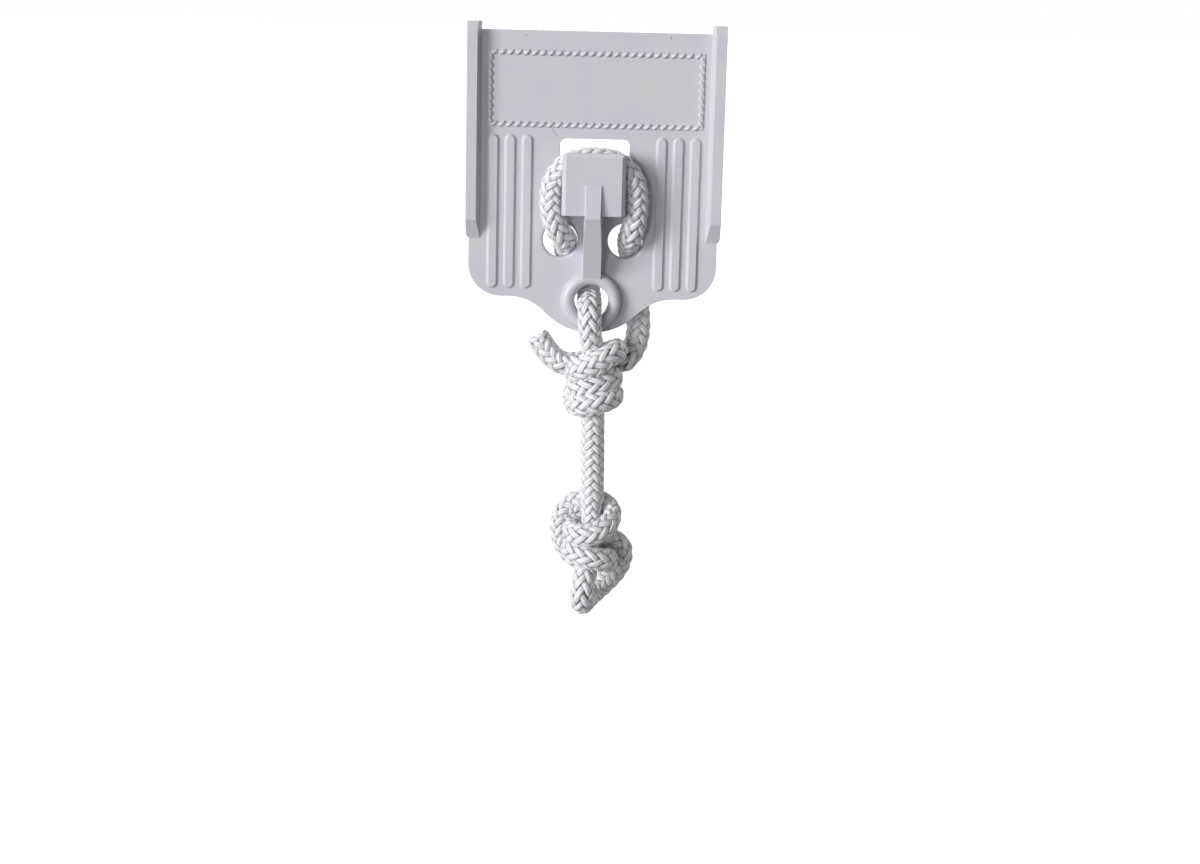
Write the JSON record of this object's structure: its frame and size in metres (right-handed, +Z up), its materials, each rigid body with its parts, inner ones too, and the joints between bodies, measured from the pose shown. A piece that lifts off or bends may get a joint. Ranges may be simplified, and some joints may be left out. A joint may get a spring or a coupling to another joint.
{
  "type": "fender hanger",
  "caption": "Moulded plastic plate that snaps on a boat's rail, with a hook and eye that hold a laced braided rope, knotted and ending in a loop for a fender.",
  "frame": {"origin": "axis of the rail at the middle of the plate's width", "axes": "+X along the rail, -Y the way the plate's face looks, +Z up"},
  "size_m": [0.095, 0.0475, 0.2239],
  "materials": {
    "moulding": "pale cool grey moulded plastic with a fine satin face",
    "rope": "white braided synthetic rope with a soft sheen"
  },
  "bodies": {
    "root": {"hanger_body": "moulding", "rope_tail": "rope", "rope_lacing": "rope", "upper_knot": "rope", "standing_line": "rope", "lower_knot": "rope", "fender_loop": "rope"}
  },
  "joints": []
}
